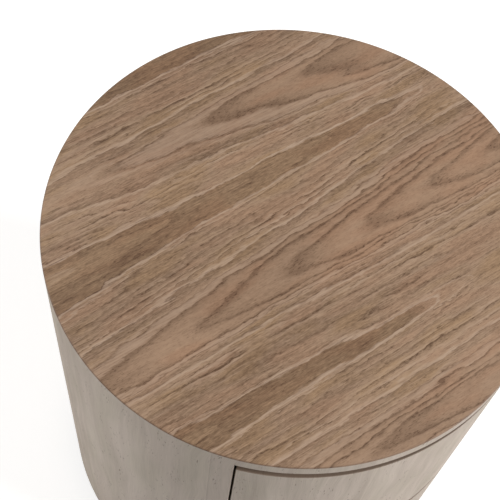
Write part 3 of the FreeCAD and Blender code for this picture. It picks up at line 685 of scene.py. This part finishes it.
    # the streaks lie over the rest, and the rounded edge, the last millimetre and a half, is darker:
    # painted shade where the edge turns away from the light
    paler = add(material, "Math", {0: pale, 1: 0.75}, operation="MULTIPLY").outputs[0]
    radius = add(material, "VectorMath", {0: spot, 1: (1, 1, 0)}, operation="MULTIPLY").outputs[0]
    radius = add(material, "VectorMath", {0: radius}, operation="LENGTH").outputs["Value"]
    # painted shade on the rounded rim
    edge = add(material, "MapRange", {0: radius, 1: 273.4, 2: 274.6, 4: 0.45}).outputs[0]
    for share, colour in ((paler, "#B59C87"), (edge, "#5A4030")):
        laid = {0: share, 6: wood, 7: linear(colour)}
        wood = add(material, "Mix", laid, data_type="RGBA").outputs[2]
    gloss = add(material, "MapRange", {0: found["fibre"], 3: 0.52, 4: 0.64}).outputs[0]
    relief = add(material, "Math", {0: found["hair"], 1: pore}, operation="SUBTRACT").outputs[0]
    dent = add(material, "Bump", {"Height": relief, "Strength": 0.3, "Distance": 0.0001}).outputs[0]
    lacquered = {"Base Color": wood, "Roughness": gloss, "Normal": dent, "IOR": 1.5}
    return add(material, "BsdfPrincipled", lacquered)


corner_turn = np.linspace(0, math.pi / 2, 5)
top_outline = [
    *zip(
        shell_radius - top_rounding * (1 - np.sin(corner_turn)),
        top_face - top_rounding * (1 - np.cos(corner_turn)),
    ),
    (shell_radius, top_floor + top_lower_edge),
    (shell_radius - top_lower_edge, top_floor),
]
points, faces = turned(np.array(top_outline), whole_turn, closed=True, capped=True)
brown = material_of("walnut_veneer_flat_cut_matt", cathedral_veneer)
piece_of("top", points, faces, brown, "carcass", "brown_veneer", ["top_veneer_board"])

# Telescopic slides: on each side of a drawer a cabinet channel, a middle channel and a drawer
# channel, rolled from zinc-plated steel strip and nested with balls between them. Rolled zinc is a
# soft grey shine with faint spangle, smeared lengthwise.

slide_half_length = 0.15
strip = 0.0012
slide_centres = {"lower": 0.1325, "upper": 0.39425}
sides = {"left": -1, "right": 1}


def drawn(outline, start, end):
    """An outline of (x, z) drawn out along Y between two places, with both ends closed."""
    count = len(outline)
    ends = [np.column_stack([outline[:, 0], np.full(count, y), outline[:, 1]]) for y in (start, end)]
    faces = grid_faces(2, count, close_columns=True)
    faces += [list(range(count)), list(range(2 * count - 1, count - 1, -1))]
    return np.concatenate(ends), faces


def channel(web, lip, half_height, thickness, side, centre):
    """A C section: its web's back at x = web, its lips reaching to x = lip. Each corner is rounded
    to so many thicknesses, as the rolls leave it."""
    inner_web = web + math.copysign(thickness, lip - web)
    inside = half_height - thickness
    corners = [
        (web, -half_height, 1.6),
        (web, half_height, 1.6),
        (lip, half_height, 0.4),
        (lip, inside, 0.4),
        (inner_web, inside, 0.6),
        (inner_web, -inside, 0.6),
        (lip, -inside, 0.4),
        (lip, -half_height, 0.4),
    ]
    radii = np.array([corner[2] for corner in corners]) * thickness
    outline = eased([corner[:2] for corner in corners], radii)
    return outline * (side, 1) + (0, centre)


def rolled_zinc(material):
    # the lines that the rolls leave are drawn wide enough to show
    sizes = {"spangle": (5, 5, 5, 3), "roll": (0.5, 60, 0.5, 2), "smear": (20, 40, 20, 3)}
    found = grains(material, in_millimetres(material), sizes)
    mixed = add(material, "Math", {0: found["spangle"], 1: found["smear"]}, operation="MULTIPLY")
    spread = add(material, "MapRange", {0: mixed.outputs[0], 1: 0.1, 2: 0.4}).outputs[0]
    tint = {0: spread, 6: linear("#ABACAD"), 7: linear("#CBCBCA")}
    shade = add(material, "Mix", tint, data_type="RGBA").outputs[2]
    gloss = add(material, "MapRange", {0: found["smear"], 3: 0.28, 4: 0.5}).outputs[0]
    dent = add(material, "Bump", {"Height": found["roll"], "Strength": 0.2, "Distance": 0.00005})
    steel = {"Base Color": shade, "Roughness": gloss, "Normal": dent.outputs[0], "Metallic": 1.0}
    return add(material, "BsdfPrincipled", steel)


zinc = material_of("steel_rolled_zinc_plated", rolled_zinc)
# how far out the web's back and the lips' ends lie, half the height, and the body
members = {
    "cabinet": (0.18796, 0.17796, 0.0225, "carcass"),
    "middle": (0.18436, 0.17736, 0.0178, "{level}_slide_middles"),
    "drawer": (0.17526, 0.18236, 0.0131, "{level}_drawer"),
}
for level, centre in slide_centres.items():
    for side, sign in sides.items():
        for member, (web, lip, half_height, body) in members.items():
            outline = channel(web, lip, half_height, strip, sign, centre)
            points, faces = drawn(outline, -slide_half_length, slide_half_length)
            node = f"{level}_slide_{member}_{side}"
            name = f"{level}_{member}_channel_{side}"
            piece_of(name, points, faces, zinc, body.format(level=level), "zinc_steel", [node])

# Balls and their cages: rows of hardened steel balls roll between the members, each row held at
# its pitch by a thin pressed strip. Ground balls are smooth and bright.

ball_radius = 0.0016
ball_pitch = 0.0075
balls_each_way = 9
cage_strip = 0.00025
cage_half_length = 0.075


def ground_steel(material):
    haze = grains(material, in_millimetres(material), {"haze": (2, 2, 2, 2)})["haze"]
    gloss = add(material, "MapRange", {0: haze, 3: 0.14, 4: 0.26}).outputs[0]
    tint = {0: haze, 6: linear("#B4B6B8"), 7: linear("#C6C8CA")}
    shade = add(material, "Mix", tint, data_type="RGBA").outputs[2]
    return add(material, "BsdfPrincipled", {"Base Color": shade, "Roughness": gloss, "Metallic": 1.0})


def balls_at(centres, radius, columns=8, rows=6):
    """A ball round every centre: rings of (sin t cos a, sin t sin a, cos t) between two poles,
    numbered ball by ball."""
    turn = np.arange(columns) * 2 * math.pi / columns
    tilt = np.arange(1, rows) * math.pi / rows
    tilt, turn = np.meshgrid(tilt, turn, indexing="ij")
    ring = np.stack([np.sin(tilt) * np.cos(turn), np.sin(tilt) * np.sin(turn), np.cos(tilt)], axis=-1)
    ball = np.concatenate([ring.reshape(-1, 3), [(0, 0, 1), (0, 0, -1)]]) * radius
    belt = np.array(grid_faces(rows - 1, columns, close_columns=True))[:, ::-1]
    step = np.arange(columns)
    after = (step + 1) % columns
    last = (rows - 2) * columns
    top = np.stack([np.full(columns, len(ball) - 2), step, after], axis=-1)
    foot = np.stack([np.full(columns, len(ball) - 1), last + after, last + step], axis=-1)
    start = (np.arange(len(centres)) * len(ball))[:, None, None]
    faces = []
    for part in (belt[:, ::-1], top, foot):
        faces += (part[None] + start).reshape(-1, part.shape[1]).tolist()
    return (centres[:, None] + ball[None]).reshape(-1, 3), faces


ball_steel = material_of("bearing_steel_ground", ground_steel)
# the same three measures of each cage, then how far out and how far up and down its balls lie
cages = {
    "outer": (0.18472, 0.1786, 0.01968, 0.18116, 0.01955),
    "inner": (0.18291, 0.1777, 0.01498, 0.17986, 0.01485),
}
along = np.arange(-balls_each_way, balls_each_way + 1) * ball_pitch
for level, centre in slide_centres.items():
    for cage, (web, lip, half_height, ball_reach, ball_rise) in cages.items():
        body = f"{level}_{cage}_cages"
        spots = np.meshgrid([-ball_reach, ball_reach], along, [-ball_rise, ball_rise])
        spots = np.stack(spots, axis=-1).reshape(-1, 3) + (0, 0, centre)
        points, faces = balls_at(spots, ball_radius)
        node = f"{level}_{cage}_ball_rows"
        piece_of(f"{level}_{cage}_balls", points, faces, ball_steel, body, "ball_steel", [node])
        for side, sign in sides.items():
            outline = channel(web, lip, half_height, cage_strip, sign, centre)
            points, faces = drawn(outline, -cage_half_length, cage_half_length)
            piece_of(f"{level}_{cage}_cage_{side}", points, faces, zinc, body, "ball_steel")

# Slide screws: pan heads with a cross recess, turned from steel. Two hold each cabinet member to
# its board and two each drawer member to the drawer's side. Bright zinc is a clear bluish shine
# with small duller blots.

screw_reach = 0.113
cabinet_seat = 0.18676
drawer_seat = 0.17646
head_radius = 0.0035
head_rise = 0.0020
rim_rise = 0.0013
slot_reach = 0.0021
slot_half_width = 0.0006
slot_end_slope = 0.0005
slot_side_slope = 0.0003
recess_depth = 0.0012


def screws_at(seats, columns=32):
    """Screws from seats of (x, y, z, side): the head's dome falls with the square of the radius, a
    cross of two slots is sunk in it, and the shank runs to a blunt point."""
    # out over the dome to its rim, in under it, and down the shank to the point
    radius = np.array([0.05, 0.4, 0.7, 1.0, 1.4, 1.8, 2.2, 2.7, 3.2, 3.5, 3.5, 1.75, 1.75, 0.3]) / 1000
    rise = head_rise - (head_rise - rim_rise) * (radius / head_radius) ** 2
    rise[-4:] = (0, 0, -0.009, -0.012)
    on_dome = rise[:, None] > rim_rise / 2
    turn = np.arange(columns) * 2 * math.pi / columns
    across, up = radius[:, None] * np.cos(turn), radius[:, None] * np.sin(turn)
    from_slot = np.minimum(np.abs(across), np.abs(up))
    within = np.clip((slot_reach - radius[:, None]) / slot_end_slope, 0, 1)
    sunk = np.clip((slot_half_width - from_slot) / slot_side_slope, 0, 1) * within * on_dome
    rise = rise[:, None] - recess_depth * sunk
    screw = np.stack([rise, across, up], axis=-1).reshape(-1, 3)
    quads = grid_faces(len(radius), columns, close_columns=True)
    last = len(screw) - columns
    caps = [list(range(columns - 1, -1, -1)), list(range(last, last + columns))]
    points, faces = [], []
    for number, (x, y, z, side) in enumerate(seats):
        points.append(screw * (-side, 1, side) + (x, y, z))
        faces += [[corner + number * len(screw) for corner in face] for face in quads + caps]
    return np.concatenate(points), faces


def bright_zinc(material):
    # the turning marks are drawn coarse enough to show
    sizes = {"blot": (1.5, 1.5, 1.5, 3), "turn": (0.3, 0.3, 0.3, 1)}
    found = grains(material, in_millimetres(material), sizes)
    gloss = add(material, "MapRange", {0: found["blot"], 3: 0.2, 4: 0.42}).outputs[0]
    tint = {0: found["blot"], 6: linear("#B9BBC0"), 7: linear("#D3D6D8")}
    shade = add(material, "Mix", tint, data_type="RGBA").outputs[2]
    dent = add(material, "Bump", {"Height": found["turn"], "Strength": 0.2, "Distance": 0.00003})
    plated = {"Base Color": shade, "Roughness": gloss, "Normal": dent.outputs[0], "Metallic": 1.0}
    return add(material, "BsdfPrincipled", plated)


screw_zinc = material_of("steel_zinc_bright", bright_zinc)
cabinet_seats = []
for level, centre in slide_centres.items():
    drawer_seats = []
    for sign in sides.values():
        for reach in (-screw_reach, screw_reach):
            cabinet_seats.append((sign * cabinet_seat, reach, centre, sign))
            drawer_seats.append((sign * drawer_seat, reach, centre, -sign))
    points, faces = screws_at(drawer_seats)
    name, node = f"{level}_drawer_screws", f"{level}_drawer_slide_screws"
    piece_of(name, points, faces, screw_zinc, f"{level}_drawer", "zinc_screw", [node])
points, faces = screws_at(cabinet_seats)
piece_of("cabinet_screws", points, faces, screw_zinc, "carcass", "zinc_screw", ["cabinet_slide_screws"])

# Drawer boxes: sides and back of solid birch, sanded and clear lacquered, round a bottom of thin
# sanded plywood let into grooves. Birch is pale and plain, and only its lacquer has a soft sheen.


def pale_drawer_wood(material, grain):
    shader = plain_wood(material, "#DAC4A0", "#C0A379", grain, 0.5)
    shader.inputs["Coat Weight"].default_value = 0.3
    shader.inputs["Coat Roughness"].default_value = 0.3
    return shader


side_wood = material_of("birch_lacquered_lengthwise", pale_drawer_wood, "Y")
back_wood = material_of("birch_lacquered_crosswise", pale_drawer_wood, "X")
drawer_easing = 0.0012
ply = material_of("birch_plywood_sanded", plain_wood, "#DCC7A2", "#C7AA7C", "X", 0.6)
for level in slide_centres:
    body = f"{level}_drawer"
    for board, wood in (("side_left", side_wood), ("side_right", side_wood), ("back", back_wood)):
        eased_board(f"{level}_drawer_{board}", drawer_easing, wood, body)
    dress(ply, f"{level}_drawer_bottom")

# Drawer fronts: bowed blanks laminated like the shell and cut to its curve, with the same veneer
# carried across both. A bevel behind the upper edge makes room for the fingers.

front_half_turn = math.radians(46.479)
front_columns = 65
front_easing = 0.001
grip_depth = 0.008
grip_height = 0.026

front_turns = np.linspace(-front_half_turn, front_half_turn, front_columns)
for level in slide_centres:
    low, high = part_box(f"{level}_drawer_front")
    outline = np.array(
        [
            (shell_radius, low.z),
            (shell_radius, high.z),
            (shell_radius - shell_wall + grip_depth, high.z),
            (shell_radius - shell_wall, high.z - grip_height),
            (shell_radius - shell_wall, low.z),
        ]
    )
    points, faces = turned(outline, front_turns, closed=False)
    body, node = f"{level}_drawer", f"{level}_drawer_front"
    front = piece_of(f"{level}_front", points, faces, veneer, body, "greige_veneer", [node])
    unroll(front, shell_radius)
    bevel(front, front_easing)

# Floor and backdrop: a plain pale studio floor that runs out of sight and glows just enough to
# stay white to the camera beside the object's shadow.

floor_reach = 6


def studio_floor(material):
    camera_ray = add(material, "LightPath").outputs["Is Camera Ray"]
    matt = add(material, "BsdfDiffuse", {"Color": linear("#D8D8D8")}).outputs[0]
    glow = add(material, "Emission", {"Strength": 0.6}).outputs[0]
    seen = add(material, "AddShader", {0: matt, 1: glow}).outputs[0]
    return add(material, "MixShader", {0: camera_ray, 1: matt, 2: seen})


floor_corners = np.array([(-1, -1, 0), (1, -1, 0), (1, 1, 0), (-1, 1, 0)]) * floor_reach
floor_mesh = bpy.data.meshes.new("floor")
floor_mesh.from_pydata(floor_corners, [], [(0, 1, 2, 3)])
floor_mesh.materials.append(material_of("floor_matt_pale", studio_floor))
floor = bpy.data.objects.new("floor", floor_mesh)
bpy.context.scene.collection.objects.link(floor)

# Lamps: a broad key from the drum's right front and a weaker fill from behind on the left. Power
# comes from the level wanted, the brightness that a white card facing the lamp would have.


def lamp(name, turn, tilt, distance, side, level):
    """A square lamp aimed at the drum, turned from the front and tilted up by degrees."""
    aimed_at = Vector((0, 0, 0.4))
    turn, tilt = math.radians(turn), math.radians(tilt)
    way = Vector((math.sin(turn) * math.cos(tilt), -math.cos(turn) * math.cos(tilt), math.sin(tilt)))
    light = bpy.data.lights.new(name, "AREA")
    light.size = side
    light.energy = level * math.pi**2 * distance**2
    made = bpy.data.objects.new(name, light)
    aim = way.to_track_quat("Z", "Y").to_matrix().to_4x4()
    made.matrix_world = Matrix.Translation(aimed_at + way * distance) @ aim
    bpy.context.scene.collection.objects.link(made)


lamp("key_lamp", turn=37, tilt=28, distance=10, side=3.6, level=1.03)
lamp("fill_lamp", turn=-138, tilt=25, distance=10, side=4.8, level=0.69)

# World: a weak even light, slightly warm, and white where a ray meets it directly, in a shine or
# through glass.

world_level = 0.235

world = bpy.data.worlds.new("studio")
world.use_nodes = True
bpy.context.scene.world = world
world.node_tree.nodes.clear()
path = add(world, "LightPath").outputs
direct = {0: path["Is Camera Ray"], 1: path["Is Glossy Ray"]}
direct = add(world, "Math", direct, operation="MAXIMUM").outputs[0]
direct = {0: direct, 1: path["Is Transmission Ray"]}
direct = add(world, "Math", direct, operation="MAXIMUM").outputs[0]
strength = add(world, "MapRange", {0: direct, 3: world_level, 4: 1.0}).outputs[0]
tint = {0: direct, 6: linear("#FFF9F1"), 7: linear("#FFFFFF")}
tint = add(world, "Mix", tint, data_type="RGBA").outputs[2]
backdrop = add(world, "Background", {"Color": tint, "Strength": strength}).outputs[0]
add(world, "OutputWorld", {"Surface": backdrop})
bpy.context.scene.view_settings.view_transform = "Standard"
